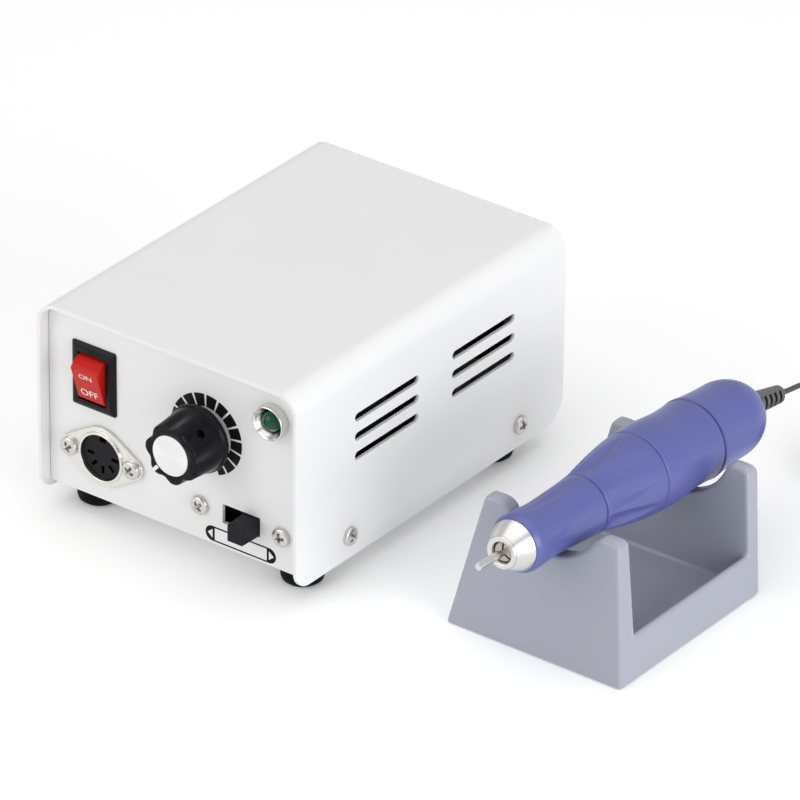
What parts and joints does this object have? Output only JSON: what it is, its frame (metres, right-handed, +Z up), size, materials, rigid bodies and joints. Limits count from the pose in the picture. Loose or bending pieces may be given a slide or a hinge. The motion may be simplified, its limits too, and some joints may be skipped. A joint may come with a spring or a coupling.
{
  "type": "dental micromotor",
  "caption": "Dental micromotor: white control box with power rocker, lead socket, speed knob, pilot lamp and direction switch; blue handpiece with its lead on a grey cradle.",
  "frame": {"origin": "on the table, in the middle of the box and cradle together, without the lead", "axes": "+Z up, the control panel and the nose face -Y, +X runs from the box to the cradle"},
  "size_m": [0.2357, 0.2017, 0.0702],
  "materials": {
    "box_paint": "satin",
    "screw_steel": "satin",
    "foot_rubber": "matte",
    "black_plastic": "satin",
    "red_plastic": "gloss",
    "brass": "satin",
    "nickel": "polished",
    "knob_black": "gloss",
    "spun_cap": "spun",
    "green_lens": "gloss",
    "core_steel": "varnished",
    "copper": "satin",
    "board_green": "satin",
    "can_blue": "gloss",
    "aluminium": "satin",
    "cradle_grey": "satin",
    "handpiece_blue": "satin",
    "nose_steel": "turned",
    "dark_collet": "satin",
    "magnet": "matte",
    "boot_grey": "matte",
    "cord_grey": "satin"
  },
  "bodies": {
    "base": {"chassis": "box_paint", "top_cover": "box_paint", "cover_screws": "screw_steel", "rubber_feet": "foot_rubber", "foot_screws": "screw_steel", "switch_bezel": "black_plastic", "switch_tabs": "brass", "socket_flange": "nickel", "socket_insert": "black_plastic", "socket_screws": "screw_steel", "pot_body": "nickel", "pot_nut": "nickel", "lamp_bezel": "nickel", "lamp_lens": "green_lens", "slide_switch": "black_plastic", "slide_screws": "screw_steel", "transformer_core": "core_steel", "transformer_coil": "copper", "transformer_frame": "screw_steel", "frame_screws": "screw_steel", "circuit_board": "board_green", "board_standoffs": "brass", "capacitors": "can_blue", "heat_sink": "aluminium", "power_transistor": "black_plastic", "fuse_holder": "black_plastic", "pedal_jack": "black_plastic", "cord_gland": "black_plastic", "cradle": "cradle_grey", "cord_lead": "cord_grey", "cord_coil": "cord_grey", "cord_tie": "black_plastic", "plug_shell": "nickel", "plug_insert": "black_plastic", "plug_pins": "brass", "plug_boot": "boot_grey"},
    "rocker": {"rocker": "red_plastic"},
    "knob": {"speed_knob": "knob_black", "knob_cap": "spun_cap", "knob_set_screw": "screw_steel", "pot_shaft": "aluminium"},
    "slide_button": {"slide_button": "black_plastic"},
    "fuse_cap": {"fuse_cap": "black_plastic"},
    "handpiece": {"nose_ring": "nose_steel", "nose_sleeve": "handpiece_blue", "body_sleeve": "handpiece_blue", "rear_cap": "handpiece_blue", "cord_boot": "boot_grey", "motor_can": "core_steel", "magnets": "magnet", "brushes": "magnet", "end_bell": "black_plastic", "bearings": "nickel"},
    "chuck_ring": {"chuck_ring": "handpiece_blue"},
    "spindle": {"spindle": "nose_steel", "collet": "dark_collet", "armature": "copper", "commutator": "copper", "chuck_spring": "screw_steel"},
    "chuck_pin": {"chuck_pin": "nose_steel"}
  },
  "joints": [
    {"name": "power_rocker", "type": "hinge", "parent": "base", "child": "rocker", "pos_m": [-0.0794, -0.06114, 0.0488], "axis": [-1, 0, 0], "range_deg": [0, 36]},
    {"name": "speed_turn", "type": "hinge", "parent": "base", "child": "knob", "pos_m": [-0.038, -0.06594, 0.0448], "axis": [0, 1, 0], "range_deg": [0, 270]},
    {"name": "direction_slide", "type": "slide", "parent": "base", "child": "slide_button", "axis": [-1, 0, 0], "range_m": [0, 0.007]},
    {"name": "fuse_cap_turn", "type": "hinge", "parent": "base", "child": "fuse_cap", "pos_m": [-0.078, 0.06406, 0.0302], "axis": [0, 1, 0], "range_deg": [0, 60]},
    {"name": "handpiece_lift", "type": "slide", "parent": "base", "child": "handpiece", "axis": [0, 0, 1], "range_m": [0, 0.08], "deforming": ["cord_lead"]},
    {"name": "chuck_ring_turn", "type": "hinge", "parent": "handpiece", "child": "chuck_ring", "pos_m": [0.0668, -0.00631, 0.03897], "axis": [0, 0.9986, -0.0523], "range_deg": [0, 60]},
    {"name": "spindle_spin", "type": "hinge", "parent": "handpiece", "child": "spindle", "pos_m": [0.0668, -0.00631, 0.03897], "axis": [0, 0.9986, -0.0523], "continuous": true},
    {"name": "chuck_pin_draw", "type": "slide", "parent": "spindle", "child": "chuck_pin", "axis": [0, -0.9986, 0.0523], "range_m": [0, 0.03]}
  ]
}
